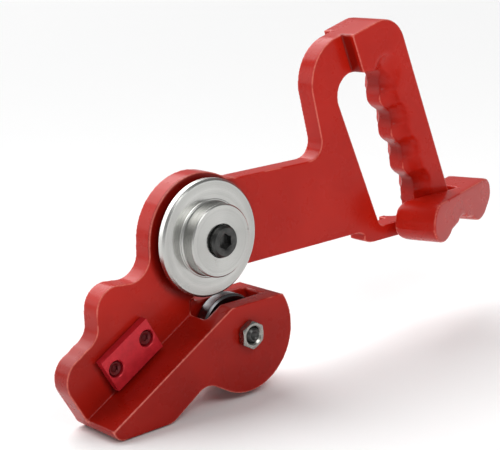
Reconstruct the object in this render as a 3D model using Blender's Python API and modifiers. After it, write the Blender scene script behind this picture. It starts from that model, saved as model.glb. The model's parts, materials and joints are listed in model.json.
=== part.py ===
"""Hand seamer: a red cast frame with a finger grip, two rollers that pinch a sheet edge, and a guide block.

Millimetres are used in the constants below; MM turns them into Blender's metres.
The outlines are drawn in a plane seen from the front, X to the right and Z up, measured from the
upper roller's axis. Depths run along Y, from the front face of the upper roller's big disc.
Everything hangs from the empty "upper_axis". The world origin is the flat seat on top of the
lower body, straight above the lower axle.
"""
import math

import bmesh
import bpy
from mathutils import Matrix, Vector

MM = 0.001
NAME = "hand_seamer"
GAP = 0.3                  # air between pieces that touch on the real tool

# Places, from the upper axis at the disc's front face.
LOWER_AXIS = (10.0, -49.0)         # X and Z of the lower axle
SEAT_Z = -33.6                     # flat top of the lower body
SEAT_Y = -8.7                      # middle of the front wall, where the seat is
FLOOR_OF_ARM = -21.0               # underside of the arm
FLOOR_OF_FOOT = -28.5              # underside of the bar below the finger hole
ARM_TOP = 25.3

# Depths of the frame.
PLATE_FRONT = 8.2
PLATE_REAR = 19.4
BODY_FRONT = -13.3
GRIP_FRONT = 0.0
GRIP_REAR = 25.0
LEDGE_SLOPE = math.radians(29.6)
LEDGE_TOP_X = 0.3                  # where the sloping ledge reaches the seat
STEP_LINE = ((98.55, 100.0), (110.0, 69.5), (146.0, -12.0))   # where the plate steps up to the thick grip

# Finger grip.
RIDGE_START = (130.2, 49.8)
RIDGE_LEAN = math.radians(23.9)
RIDGE_PITCH = 22.0
RIDGE_COUNT = 4
GROOVE_DEPTH = 4.6
SCOOP_RADIUS = 10.8
COVE_RADIUS = 9.4
COVE_OFFSET = 1.8                  # how far the cove's axis lies outside the grip's faces
BROW_RADIUS = 15.0                 # shallow hollow that eases the top of the first scoop
BROW_OFFSET = 11.0
BROW_PLACE = (-16.5, 6.0)          # along and across the line of ridges
REAR_STEP_SHIFT = 3.4              # the step at the back is this much further along than the front one

# Upper roller and its bearing.
DISC_RADIUS = 29.8
DISC_THICK = 4.6
HUB_RADIUS = 18.4
HUB_LENGTH = 8.2
AXLE_RADIUS = 5.0
UPPER_BEARING = {"bore": 5.0, "outer": 15.0, "width": 9.0, "pitch": 10.0, "ball": 2.38, "balls": 8}
UPPER_BEARING_FRONT = -4.6
CAP_HEAD_RADIUS = 8.0
CAP_HEAD_HEIGHT = 4.7
CAP_KEY = 4.6                      # the socket's radius across its corners
AXLE_TIP = 32.5
HUB_WINDOW = 8.4                   # the hole in the hub's face, which the cap head sits in
BUSH_RADIUS = 7.7
BUSH_FRONT = -6.4
WASHER_RADIUS = 10.0
WASHER_THICK = 2.0
LOCKNUT_CORNERS = 19.0
LOCKNUT_HEIGHT = 7.6
COLLAR_RADIUS = 7.4
COLLAR_HEIGHT = 1.7

# Lower roller and its bearing.
ROLLER_RADIUS = 17.8
ROLLER_FRONT = 0.1
ROLLER_REAR = 7.9
SLOT_FRONT = -4.0
SLOT_REAR = 9.4
SLOT_HALF_WIDTH = 18.6
LOWER_BEARING = {"bore": 4.0, "outer": 11.0, "width": 7.0, "pitch": 7.5, "ball": 1.98, "balls": 7}
LOWER_BEARING_FRONT = 0.5
BOLT_RADIUS = 4.0
BOLT_HEAD_RADIUS = 6.5
BOLT_HEAD_HEIGHT = 8.0
BOLT_KEY = 3.5
THIN_NUT = 4.0
THIN_NUT_CORNERS = 15.0
SLOT_SPACER_RADIUS = 5.6
SMALL_WASHER_RADIUS = 8.0
SMALL_WASHER_THICK = 1.6

# Guide block, laid along the ledge.
BLOCK_CENTRE = (-49.2, -48.6)
BLOCK_LENGTH = 31.8
BLOCK_HEIGHT = 18.6
BLOCK_THICK = 4.3
BLOCK_SCREW_SPACING = 21.6
BLOCK_SCREW_LIFT = 0.8
BLOCK_HEAD_RADIUS = 3.9
BLOCK_HEAD_HEIGHT = 2.2
BLOCK_SHANK_RADIUS = 2.4
BLOCK_KEY = 1.8
BLOCK_FLOOR = 1.4                  # metal left under each screw head

# Second grip, bolted to the foot of the finger grip and turned away from the seam.
HEEL_START = (149.0, -8.0)         # X and Y of the middle of its first lobe
HEEL_TURN = math.radians(19.0)
HEEL_WIDTH = 24.0
HEEL_BOTTOM = -29.8
HEEL_TOP = -6.5
HEEL_LOBE_SPACING = 56.0
HEEL_SCREWS = ((167.4, -12.2), (176.5, -14.3))
HEEL_SHANK_RADIUS = 2.0
HEEL_HEAD_RADIUS = 3.5
HEEL_HEAD_HEIGHT = 4.0
HEEL_KEY = 1.73
HEEL_SCREW_TIP = -7.5

RED_PAINT = ("red_paint", (0.42, 0.018, 0.014, 1.0), 0.35, 0.0)
CRIMSON = ("crimson_anodised", (0.40, 0.016, 0.028, 1.0), 0.42, 0.4)
STEEL = ("turned_steel", (0.62, 0.62, 0.60, 1.0), 0.32, 1.0)
BRIGHT_STEEL = ("bearing_steel", (0.70, 0.70, 0.70, 1.0), 0.16, 1.0)
ZINC = ("zinc_plated_steel", (0.48, 0.47, 0.46, 1.0), 0.34, 1.0)
BLACK_OXIDE = ("black_oxide", (0.022, 0.022, 0.022, 1.0), 0.40, 0.7)
DARK_ROLLER = ("hardened_roller", (0.12, 0.12, 0.12, 1.0), 0.30, 1.0)
SEAL = ("bearing_seal", (0.03, 0.03, 0.03, 1.0), 0.6, 0.0)
NYLON = ("nylon_insert", (0.10, 0.22, 0.50, 1.0), 0.5, 0.0)


def clear_scene():
    for thing in list(bpy.data.objects):
        bpy.data.objects.remove(thing, do_unlink=True)


def new_collection(name):
    collection = bpy.data.collections.new(name)
    bpy.context.scene.collection.children.link(collection)
    return collection


def new_empty(name, collection, location, parent=None):
    empty = bpy.data.objects.new(name, None)
    empty.empty_display_size = 10 * MM
    empty.location = location
    empty.parent = parent
    collection.objects.link(empty)
    return empty


def material(spec):
    name, colour, roughness, metallic = spec
    if name in bpy.data.materials:
        return bpy.data.materials[name]
    finish = bpy.data.materials.new(name)
    finish.use_nodes = True
    shader = finish.node_tree.nodes["Principled BSDF"]
    shader.inputs["Base Color"].default_value = colour
    shader.inputs["Roughness"].default_value = roughness
    shader.inputs["Metallic"].default_value = metallic
    finish.diffuse_color = colour
    return finish


# ---------------------------------------------------------------- outlines

def arc(centre, radius, start, end, step=9.0):
    """Points along an arc, angles in degrees, anticlockwise when end is larger than start."""
    count = max(2, round(abs(end - start) / step))
    angles = [math.radians(start + (end - start) * i / count) for i in range(count + 1)]
    return [(centre[0] + radius * math.cos(a), centre[1] + radius * math.sin(a)) for a in angles]


def frame_outline():
    """The casting's outline, anticlockwise from the top of the roller boss."""
    lobe_radius = 29.4
    lobe_centre = (LOWER_AXIS[0], LOWER_AXIS[1] - 1.0)
    seat_angle = math.degrees(math.asin((SEAT_Z - lobe_centre[1]) / lobe_radius))
    corner = 3.2                   # corners of the throat's closed end
    throat_end = -5.6
    points = arc((0, 0), 32.0, 54, 180, 8)
    points += arc((-44, -3), 12.0, 0, -88, 11)
    points += arc((-53, -26), 12.0, 80, 180, 11)
    points += arc((-75, -32), 10.0, 0, -74, 11)
    points += arc((-72.3, -56), 12.2, 108, 205, 11)
    points += arc((-68.5, -75.6), 6.2, 195, 270, 15)
    points += arc((-42, -73.8), 8.0, 270, 303, 11)
    points += arc((-17.3, -79.3), 9.8, 122, 57, 11)
    points += arc(lobe_centre, lobe_radius, 244, 360 + seat_angle, 7)
    points += arc((throat_end + corner, SEAT_Z + corner), corner, 270, 180, 22)
    points += arc((throat_end + corner, FLOOR_OF_ARM - corner), corner, 180, 90, 22)
    points += arc((110, FLOOR_OF_ARM - 14), 14.0, 90, 60, 15)
    points += arc((124, FLOOR_OF_FOOT + 14), 14.0, 238, 270, 15)
    points += arc((172, FLOOR_OF_FOOT + 10), 10.0, 270, 381.6, 14)
    points += arc((126.6, 78.8), 16.8, 21.6, 104, 9)
    points += arc((104.8, 64.2), 25.0, 100, 186, 8)
    points += arc((76.8, ARM_TOP + 9), 9.0, 17, -90, 12)
    points += arc((24.5, ARM_TOP + 4), 4.0, 270, 234, 18)
    return points


def ridge_point(along, across):
    """A point beside the line of finger ridges: along runs down the grip, across runs into it."""
    down = (math.sin(RIDGE_LEAN), -math.cos(RIDGE_LEAN))
    into = (math.cos(RIDGE_LEAN), math.sin(RIDGE_LEAN))
    return (RIDGE_START[0] + down[0] * along + into[0] * across,
            RIDGE_START[1] + down[1] * along + into[1] * across)


def groove_depth_at(along):
    return GROOVE_DEPTH * 0.5 * (1 - math.cos(2 * math.pi * along / RIDGE_PITCH))


def finger_hole_outline():
    """The hole of the handle: a straight left side, round ends and a row of finger grooves."""
    last = (RIDGE_COUNT - 1) * RIDGE_PITCH
    first_groove = -RIDGE_PITCH * 0.5
    steps = 28
    points = arc((110.5, 56.5), 12.0, 90, 203.5, 12)
    points += arc((132.8, -15.5), 5.0, 203.5, 270, 16)
    points += arc((152.6, -14.9), 5.6, 270, 335, 16)
    for i in range(steps + 1):
        along = last + (first_groove - last) * i / steps
        points.append(ridge_point(along, groove_depth_at(along)))
    points += arc((124.4, 62.6), 6.1, 18, 90, 14)
    return points


def ledge_z(x):
    return SEAT_Z + math.tan(LEDGE_SLOPE) * (x - LEDGE_TOP_X)


def front_relief_outline():
    """Everything above the ledge and left of the grip, where the casting is a thin plate."""
    in_throat = SEAT_Z + 2.2
    rise = (in_throat - SEAT_Z) / math.tan(LEDGE_SLOPE)
    points = [(-110, ledge_z(-110)), (LEDGE_TOP_X + rise, in_throat), (146, in_throat)]
    points += list(reversed(STEP_LINE))
    points += [(-110, 100)]
    return points


def rear_relief_outline():
    upper, middle, lower = [(x + shift, z) for (x, z), shift in
                            zip(STEP_LINE, (REAR_STEP_SHIFT, REAR_STEP_SHIFT, 0))]
    return [(-110, -100), (146, -100), lower, middle, upper, (-110, 100)]


def slot_outline():
    """U-shaped slot for the lower roller, open at the top."""
    x, z = LOWER_AXIS
    top = SEAT_Z + 2.4
    points = [(x - SLOT_HALF_WIDTH, top)]
    points += arc((x, z), SLOT_HALF_WIDTH, 180, 360, 12)
    points.append((x + SLOT_HALF_WIDTH, top))
    return points


def heel_outline():
    """Side view of the second grip, from its first lobe: two round lobes below, a smooth back above."""
    height = HEEL_TOP - HEEL_BOTTOM
    lobe = 17.0
    notch = 9.0
    middle = HEEL_LOBE_SPACING / 2
    points = arc((0, lobe), lobe, 205, 312, 12)
    points += arc((middle, 0.5), notch, 140, 40, 20)
    points += arc((HEEL_LOBE_SPACING, lobe), lobe, 228, 300, 12)
    points += arc((HEEL_LOBE_SPACING + 8, height - 9.5), 9.5, -30, 90, 15)
    points += arc((-4, height - 11), 11.0, 90, 190, 15)
    return points


# ---------------------------------------------------------------- shapes

def mesh_object(name, mesh, collection, parent):
    thing = bpy.data.objects.new(name, mesh)
    thing.parent = parent
    collection.objects.link(thing)
    return thing


def prism(name, outline, front, rear, collection, parent):
    """A flat outline in X and Z, given depth along Y."""
    curve = bpy.data.curves.new(name, "CURVE")
    curve.dimensions = "2D"
    curve.fill_mode = "BOTH"
    curve.extrude = (rear - front) / 2 * MM
    spline = curve.splines.new("POLY")
    spline.points.add(len(outline) - 1)
    spline.use_cyclic_u = True
    for point, (x, z) in zip(spline.points, outline):
        point.co = (x * MM, z * MM, 0, 1)
    sketch = bpy.data.objects.new(name + "_sketch", curve)
    sketch.rotation_euler = (math.pi / 2, 0, 0)
    sketch.location = (0, (front + rear) / 2 * MM, 0)
    collection.objects.link(sketch)
    bpy.context.view_layer.update()
    evaluated = sketch.evaluated_get(bpy.context.evaluated_depsgraph_get())
    mesh = bpy.data.meshes.new_from_object(evaluated)
    mesh.name = name
    mesh.transform(sketch.matrix_world)
    bm = bmesh.new()
    bm.from_mesh(mesh)
    bmesh.ops.remove_doubles(bm, verts=bm.verts, dist=0.00001)
    bmesh.ops.recalc_face_normals(bm, faces=bm.faces)
    bm.to_mesh(mesh)
    bm.free()
    bpy.data.objects.remove(sketch, do_unlink=True)
    return mesh_object(name, mesh, collection, parent)


def round_bar(name, centre, radius, front, rear, collection, parent, segments=24, turn=0.0):
    """A cylinder, or with six segments a hexagon, lying along Y."""
    bm = bmesh.new()
    bmesh.ops.create_cone(bm, cap_ends=True, segments=segments, radius1=radius * MM, radius2=radius * MM,
                          depth=(rear - front) * MM, matrix=Matrix.Rotation(turn, 4, "Z"))
    place = Matrix.Translation((centre[0] * MM, (front + rear) / 2 * MM, centre[1] * MM))
    bmesh.ops.transform(bm, verts=bm.verts, matrix=place @ Matrix.Rotation(-math.pi / 2, 4, "X"))
    mesh = bpy.data.meshes.new(name)
    bm.to_mesh(mesh)
    bm.free()
    return mesh_object(name, mesh, collection, parent)


def turned(name, profile, collection, parent, segments=28):
    """A profile of (radius, Y) points, down its outer side, turned about the parent's Y axis."""
    mesh = bpy.data.meshes.new(name)
    count = len(profile)
    closed = min(radius for radius, _ in profile) > 0
    edges = [(i, (i + 1) % count) for i in range(count if closed else count - 1)]
    mesh.from_pydata([(radius * MM, 0, y * MM) for radius, y in profile], edges, [])
    thing = mesh_object(name, mesh, collection, parent)
    thing.rotation_euler = (-math.pi / 2, 0, 0)
    screw = thing.modifiers.new("Turn", "SCREW")
    screw.axis = "Z"
    screw.angle = 2 * math.pi
    screw.steps = segments
    screw.render_steps = segments
    screw.use_merge_vertices = True
    screw.merge_threshold = 0.00001
    screw.use_normal_calculate = False
    return thing


def ring(name, inner, outer, front, rear, collection, parent, segments=20, chamfer=0.4):
    """A plain ring with small chamfers on its outer corners."""
    profile = [(inner, rear), (outer - chamfer, rear), (outer, rear - chamfer),
               (outer, front + chamfer), (outer - chamfer, front), (inner, front)]
    return turned(name, profile, collection, parent, segments)


def combine(target, other, operation, collection):
    """Cut, join or trim the target with another shape, which becomes a guide."""
    modifier = target.modifiers.new(other.name, "BOOLEAN")
    modifier.operation = operation
    modifier.solver = "EXACT"
    modifier.object = other
    for home in list(other.users_collection):
        home.objects.unlink(other)
    collection.objects.link(other)
    other.hide_render = True
    other.display_type = "WIRE"


def finish(thing, spec):
    thing.data.materials.clear()
    thing.data.materials.append(material(spec))


# ---------------------------------------------------------------- the casting

def ball(name, radius, location, parts, axis):
    bm = bmesh.new()
    bmesh.ops.create_uvsphere(bm, u_segments=24, v_segments=12, radius=radius * MM)
    mesh = bpy.data.meshes.new(name)
    bm.to_mesh(mesh)
    bm.free()
    thing = mesh_object(name, mesh, parts, axis)
    thing.location = Vector(location) * MM
    return thing


def add_scoops(frame, parts, cutters, axis):
    """Hollows beside each finger groove, front and back, joined by a cove along the ridges."""
    bar_half = 50.0
    middle = (RIDGE_COUNT - 1) * RIDGE_PITCH / 2 - 3
    for side, face, outward in (("front", GRIP_FRONT, -1), ("rear", GRIP_REAR, 1)):
        depth = face + outward * COVE_OFFSET
        x, z = ridge_point(*BROW_PLACE)
        brow = ball("brow_" + side, BROW_RADIUS, (x, face + outward * BROW_OFFSET, z), parts, axis)
        combine(frame, brow, "DIFFERENCE", cutters)
        for i in range(RIDGE_COUNT):
            x, z = ridge_point((i - 0.5) * RIDGE_PITCH, 0.0)
            scoop = ball("scoop_%s_%d" % (side, i + 1), SCOOP_RADIUS, (x, depth, z), parts, axis)
            combine(frame, scoop, "DIFFERENCE", cutters)
        x, z = ridge_point(middle, -1.0)
        bm = bmesh.new()
        bmesh.ops.create_cone(bm, cap_ends=True, segments=22, radius1=COVE_RADIUS * MM,
                              radius2=COVE_RADIUS * MM, depth=2 * bar_half * MM)
        mesh = bpy.data.meshes.new("cove")
        bm.to_mesh(mesh)
        bm.free()
        cove = mesh_object("cove_" + side, mesh, parts, axis)
        cove.rotation_euler = (0, -RIDGE_LEAN, 0)
        cove.location = (x * MM, depth * MM, z * MM)
        combine(frame, cove, "DIFFERENCE", cutters)


def build_frame(parts, cutters, axis):
    frame = prism("frame_casting", frame_outline(), BODY_FRONT, GRIP_REAR, parts, axis)
    reliefs = [
        prism("front_relief", front_relief_outline(), -30, PLATE_FRONT, parts, axis),
        prism("grip_relief", [(80, SEAT_Z + 1.6), (200, SEAT_Z + 1.6), (200, 110), (80, 110)],
              -30, GRIP_FRONT, parts, axis),
        prism("rear_relief", rear_relief_outline(), PLATE_REAR, 50, parts, axis),
        prism("finger_hole", finger_hole_outline(), -5, 40, parts, axis),
        prism("roller_slot", slot_outline(), SLOT_FRONT, SLOT_REAR, parts, axis),
        round_bar("upper_axle_hole", (0, 0), AXLE_RADIUS + GAP, 0, 30, parts, axis),
        round_bar("lower_axle_hole", LOWER_AXIS, BOLT_RADIUS + GAP, -30, 30, parts, axis),
    ]
    for i, place in enumerate(block_screw_places()):
        reliefs.append(round_bar("block_screw_hole_%d" % (i + 1), place, BLOCK_SHANK_RADIUS + GAP,
                                 0, PLATE_REAR - 3, parts, axis, 20))
    for i, place in enumerate(HEEL_SCREWS):
        reliefs.append(round_bar("heel_screw_hole_%d" % (i + 1), place, HEEL_SHANK_RADIUS + GAP,
                                 -8, 40, parts, axis, 20))
        reliefs.append(round_bar("heel_screw_recess_%d" % (i + 1), place, HEEL_HEAD_RADIUS + GAP,
                                 GRIP_REAR - HEEL_HEAD_HEIGHT - 0.5, 40, parts, axis, 20))
    for shape in reliefs:
        combine(frame, shape, "DIFFERENCE", cutters)
    add_scoops(frame, parts, cutters, axis)
    finish(frame, RED_PAINT)


# ---------------------------------------------------------------- fasteners

def cap_screw(name, place, shank, head_front, head_height, head_radius, tip, socket, facing, parts, cutters,
              axis):
    """A socket-head screw along Y. facing is -1 when its head is towards the front."""
    head_end = head_front + facing * head_height
    chamfer = 0.6
    profile = [(0, tip), (shank - chamfer, tip), (shank, tip + facing * chamfer),
               (shank, head_front), (head_radius, head_front), (head_radius, head_end - facing * chamfer),
               (head_radius - chamfer, head_end), (0, head_end)]
    if facing > 0:
        profile.reverse()
    screw = turned(name, profile, parts, axis, 18)
    screw.location = (place[0] * MM, 0, place[1] * MM)
    depth = head_height * 0.6
    inner, outer = sorted((head_end - facing * depth, head_end + facing * 2))
    key = round_bar(name + "_socket", place, socket, inner, outer, parts, axis, 6, math.pi / 6)
    combine(screw, key, "DIFFERENCE", cutters)
    finish(screw, BLACK_OXIDE)


def hex_nut(name, place, across_corners, bore, front, rear, parts, cutters, axis):
    """A hexagon nut with its corners turned off, pointing up and down."""
    nut = round_bar(name, place, across_corners / 2, front, rear, parts, axis, 6)
    flat = across_corners / 2 * math.cos(math.pi / 6)
    corner = across_corners / 2
    drop = (corner - flat) * 0.8
    face = flat * 0.97
    hull = turned(name + "_crown", [(0, rear + 0.01), (face, rear + 0.01), (corner + 0.3, rear - drop),
                                    (corner + 0.3, front + drop), (face, front - 0.01), (0, front - 0.01)],
                  parts, axis, 26)
    hull.location = (place[0] * MM, 0, place[1] * MM)
    combine(nut, hull, "INTERSECT", cutters)
    hole = round_bar(name + "_bore", place, bore, front - 3, rear + 3, parts, axis, 20)
    combine(nut, hole, "DIFFERENCE", cutters)
    finish(nut, ZINC)


# ---------------------------------------------------------------- bearings

def build_bearing(prefix, data, front, parts, cutters, hub):
    """A deep-groove ball bearing: two grooved rings, a cage that holds the balls, and two seals."""
    rear = front + data["width"]
    middle = (front + rear) / 2
    ball = data["ball"] + GAP / 2
    pitch = data["pitch"]
    shoulder = ball * 0.55
    spread = math.sqrt(ball ** 2 - shoulder ** 2)
    bites = [i / 4 * 2 - 1 for i in range(5)]
    angle = math.atan2(spread, shoulder)
    outer_land = pitch + shoulder
    inner_land = pitch - shoulder
    groove = [(pitch + ball * math.cos(angle * b), middle + ball * math.sin(angle * b)) for b in bites]
    outer = turned(prefix + "_bearing_outer_ring",
                   [(outer_land, rear), (data["outer"] - 0.3, rear), (data["outer"], rear - 0.3),
                    (data["outer"], front + 0.3), (data["outer"] - 0.3, front), (outer_land, front)]
                   + groove, parts, hub, 20)
    groove = [(pitch - ball * math.cos(angle * b), middle + ball * math.sin(angle * -b)) for b in bites]
    inner = turned(prefix + "_bearing_inner_ring",
                   [(data["bore"] + GAP, rear), (inner_land, rear)] + groove
                   + [(inner_land, front), (data["bore"] + GAP, front)], parts, hub, 20)
    cage_half = ball * 0.45
    cage = ring(prefix + "_bearing_cage", pitch - 0.55, pitch + 0.55, middle - cage_half, middle + cage_half,
                parts, hub, 16, 0.1)
    for i in range(data["balls"]):
        turn = 2 * math.pi * (i + 0.5) / data["balls"]
        bm = bmesh.new()
        bmesh.ops.create_uvsphere(bm, u_segments=6, v_segments=4, radius=(data["ball"] - GAP / 2) * MM)
        mesh = bpy.data.meshes.new("ball")
        bm.to_mesh(mesh)
        bm.free()
        sphere = mesh_object("%s_ball_%d" % (prefix, i + 1), mesh, parts, hub)
        sphere.location = (pitch * math.cos(turn) * MM, middle * MM, pitch * math.sin(turn) * MM)
        combine(cage, sphere, "UNION", cutters)
    seal_thick = 0.7
    for side, place in (("front", front + 0.2), ("rear", rear - 0.2 - seal_thick)):
        seal = ring("%s_bearing_seal_%s" % (prefix, side), inner_land + GAP, outer_land - GAP, place,
                    place + seal_thick, parts, hub, 20, 0.1)
        finish(seal, SEAL)
    for thing in (outer, inner, cage):
        finish(thing, BRIGHT_STEEL)


# ---------------------------------------------------------------- rollers

def build_upper_roller(parts, cutters, axis):
    rear = DISC_THICK
    pocket = UPPER_BEARING["outer"] + GAP / 3
    pocket_front = UPPER_BEARING_FRONT - GAP
    clip_front = UPPER_BEARING_FRONT + UPPER_BEARING["width"] + 0.05
    profile = [(pocket, rear - 0.3), (pocket + 0.5, rear), (DISC_RADIUS - 0.6, rear),
               (DISC_RADIUS, rear - 0.6), (DISC_RADIUS, 0.9), (DISC_RADIUS - 0.9, 0),
               (HUB_RADIUS + 0.5, 0), (HUB_RADIUS, -0.5),
               (HUB_RADIUS, 0.7 - HUB_LENGTH), (HUB_RADIUS - 0.7, -HUB_LENGTH),
               (HUB_WINDOW, -HUB_LENGTH), (HUB_WINDOW, pocket_front), (pocket, pocket_front)]
    roller = turned("upper_roller", profile, parts, axis, 48)
    finish(roller, STEEL)
    build_bearing("upper", UPPER_BEARING, UPPER_BEARING_FRONT, parts, cutters, axis)
    bush = ring("upper_front_bush", AXLE_RADIUS + GAP, BUSH_RADIUS, BUSH_FRONT, pocket_front, parts, axis)
    finish(bush, ZINC)
    spacer = ring("upper_rear_spacer", AXLE_RADIUS + GAP, BUSH_RADIUS, clip_front + GAP, PLATE_FRONT - GAP,
                  parts, axis)
    finish(spacer, ZINC)
    cap_screw("upper_axle_screw", (0, 0), AXLE_RADIUS - 0.1, BUSH_FRONT - GAP, CAP_HEAD_HEIGHT,
              CAP_HEAD_RADIUS, AXLE_TIP, CAP_KEY, -1, parts, cutters, axis)
    washer_rear = PLATE_REAR + GAP + WASHER_THICK
    washer = ring("upper_axle_washer", AXLE_RADIUS + GAP, WASHER_RADIUS, PLATE_REAR + GAP, washer_rear,
                  parts, axis)
    finish(washer, ZINC)
    nut_front = washer_rear + GAP
    collar_front = nut_front + LOCKNUT_HEIGHT + GAP
    hex_nut("upper_axle_locknut", (0, 0), LOCKNUT_CORNERS, AXLE_RADIUS + GAP, nut_front,
            nut_front + LOCKNUT_HEIGHT, parts, cutters, axis)
    insert = ring("upper_locknut_insert", AXLE_RADIUS + GAP, COLLAR_RADIUS, collar_front,
                  collar_front + COLLAR_HEIGHT, parts, axis, 24, 0.5)
    finish(insert, NYLON)


def build_lower_roller(parts, cutters, axis, lower):
    bearing_rear = LOWER_BEARING_FRONT + LOWER_BEARING["width"]
    pocket = LOWER_BEARING["outer"] + GAP / 3
    profile = [(pocket, ROLLER_REAR), (ROLLER_RADIUS - 0.8, ROLLER_REAR),
               (ROLLER_RADIUS, ROLLER_REAR - 0.8), (ROLLER_RADIUS, ROLLER_FRONT + 0.8),
               (ROLLER_RADIUS - 0.8, ROLLER_FRONT), (pocket, ROLLER_FRONT)]
    roller = turned("lower_roller", profile, parts, lower, 36)
    finish(roller, DARK_ROLLER)
    build_bearing("lower", LOWER_BEARING, LOWER_BEARING_FRONT, parts, cutters, lower)
    spacer = ring("lower_front_spacer", BOLT_RADIUS + GAP, SLOT_SPACER_RADIUS, SLOT_FRONT + GAP,
                  LOWER_BEARING_FRONT - GAP, parts, lower, 24)
    finish(spacer, ZINC)
    thrust = ring("lower_rear_spacer", BOLT_RADIUS + GAP, SLOT_SPACER_RADIUS, bearing_rear + GAP,
                  SLOT_REAR - GAP, parts, lower, 24)
    finish(thrust, ZINC)
    washer_rear = PLATE_REAR + GAP + SMALL_WASHER_THICK
    washer = ring("lower_axle_washer", BOLT_RADIUS + GAP, SMALL_WASHER_RADIUS, PLATE_REAR + GAP, washer_rear,
                  parts, lower, 24)
    finish(washer, ZINC)
    nut_rear = BODY_FRONT - GAP
    tip = nut_rear - THIN_NUT - 0.4
    cap_screw("lower_axle_screw", LOWER_AXIS, BOLT_RADIUS - 0.1, washer_rear + GAP, BOLT_HEAD_HEIGHT,
              BOLT_HEAD_RADIUS, tip, BOLT_KEY, 1, parts, cutters, axis)
    hex_nut("lower_axle_nut", LOWER_AXIS, THIN_NUT_CORNERS, BOLT_RADIUS + GAP, nut_rear - THIN_NUT, nut_rear,
            parts, cutters, axis)


# ---------------------------------------------------------------- guide block

def along_ledge(distance, lift=0.0):
    """A point in X and Z, measured from the block's middle along and across the ledge."""
    c, s = math.cos(LEDGE_SLOPE), math.sin(LEDGE_SLOPE)
    return (BLOCK_CENTRE[0] + distance * c - lift * s, BLOCK_CENTRE[1] + distance * s + lift * c)


def block_screw_places():
    half = BLOCK_SCREW_SPACING / 2
    return [along_ledge(-half, BLOCK_SCREW_LIFT), along_ledge(half, BLOCK_SCREW_LIFT)]


def build_guide_block(parts, cutters, axis):
    half_length, half_height = BLOCK_LENGTH / 2, BLOCK_HEIGHT / 2
    corners = [along_ledge(-half_length, -half_height), along_ledge(half_length, -half_height),
               along_ledge(half_length, half_height), along_ledge(-half_length, half_height)]
    rear = PLATE_FRONT - GAP
    front = rear - BLOCK_THICK
    head_seat = rear - BLOCK_FLOOR
    block = prism("guide_block", corners, front, rear, parts, axis)
    for i, place in enumerate(block_screw_places()):
        number = i + 1
        hole = round_bar("block_hole_%d" % number, place, BLOCK_SHANK_RADIUS + GAP, front - 3, rear + 3,
                         parts, axis, 20)
        combine(block, hole, "DIFFERENCE", cutters)
        recess = round_bar("block_recess_%d" % number, place, BLOCK_HEAD_RADIUS + GAP, front - 3, head_seat,
                           parts, axis)
        combine(block, recess, "DIFFERENCE", cutters)
        cap_screw("guide_block_screw_%d" % number, place, BLOCK_SHANK_RADIUS, head_seat - GAP,
                  BLOCK_HEAD_HEIGHT, BLOCK_HEAD_RADIUS, PLATE_REAR - 4, BLOCK_KEY, -1, parts, cutters, axis)
    finish(block, CRIMSON)


# ---------------------------------------------------------------- second grip

def build_heel_grip(parts, cutters, axis):
    """A short lobed grip against the foot of the finger grip, held by two screws from behind."""
    start = (HEEL_START[0] * MM, HEEL_START[1] * MM, HEEL_BOTTOM * MM)
    turn = new_empty("heel_grip_place", parts, start, axis)
    turn.rotation_euler = (0, 0, HEEL_TURN)
    grip = prism("heel_grip", heel_outline(), -HEEL_WIDTH / 2, HEEL_WIDTH / 2, parts, turn)
    saddle = prism("heel_saddle", [(120, -40), (186, -40), (186, 10), (120, 10)],
                   GRIP_FRONT - GAP, 60, parts, axis)
    combine(grip, saddle, "DIFFERENCE", cutters)
    seat = GRIP_REAR - HEEL_HEAD_HEIGHT - 0.5 + GAP
    for i, place in enumerate(HEEL_SCREWS):
        number = i + 1
        hole = round_bar("heel_hole_%d" % number, place, HEEL_SHANK_RADIUS + GAP, HEEL_SCREW_TIP - 1, 3,
                         parts, axis, 20)
        combine(grip, hole, "DIFFERENCE", cutters)
        cap_screw("heel_grip_screw_%d" % number, place, HEEL_SHANK_RADIUS, seat, HEEL_HEAD_HEIGHT,
                  HEEL_HEAD_RADIUS, HEEL_SCREW_TIP, HEEL_KEY, 1, parts, cutters, axis)
    finish(grip, RED_PAINT)


def main():
    clear_scene()
    parts = new_collection(NAME)
    cutters = new_collection(NAME + "_cutters")
    origin = (-LOWER_AXIS[0] * MM, -SEAT_Y * MM, -SEAT_Z * MM)
    axis = new_empty("upper_axis", parts, origin)
    lower = new_empty("lower_axis", parts, (LOWER_AXIS[0] * MM, 0, LOWER_AXIS[1] * MM), axis)
    build_frame(parts, cutters, axis)
    build_upper_roller(parts, cutters, axis)
    build_lower_roller(parts, cutters, axis, lower)
    build_guide_block(parts, cutters, axis)
    build_heel_grip(parts, cutters, axis)


main()
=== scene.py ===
"""Looks of the hand seamer: rounded painted castings, turned rollers, black screws and plain studio light.

Lengths below are millimetres unless a name says otherwise; MM turns them into metres.
Turned pieces lie along Y. Their profiles are (radius, y) points, with y measured from a named face.
"""

import json
import math

import bmesh
import bpy
import numpy as np
from mathutils import Matrix, Vector


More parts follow.
